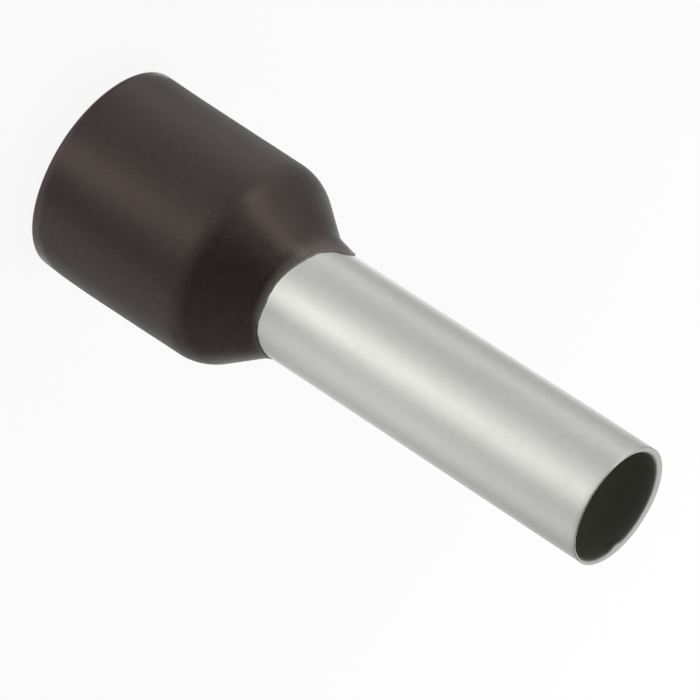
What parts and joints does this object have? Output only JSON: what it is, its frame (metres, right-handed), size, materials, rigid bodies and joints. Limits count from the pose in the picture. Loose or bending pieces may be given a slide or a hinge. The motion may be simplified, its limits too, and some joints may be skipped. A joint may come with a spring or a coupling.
{
  "type": "wire ferrule",
  "caption": "Insulated crimp ferrule: thin tinned metal tube with a flared inner end, held in a tapered moulded plastic collar that takes in the wire's insulation.",
  "frame": {"origin": "centre of the collar's mouth rim, on the plane that the ferrule stands on", "axes": "+Z along the ferrule's axis, from the collar's mouth to the sleeve's tip; X and Y are free, because the part is round"},
  "size_m": [0.0066, 0.0066, 0.02],
  "materials": {
    "collar_plastic": "satin",
    "tinned_metal": "satin"
  },
  "bodies": {
    "root": {"insulating_collar": "collar_plastic", "crimp_sleeve": "tinned_metal"}
  },
  "joints": []
}
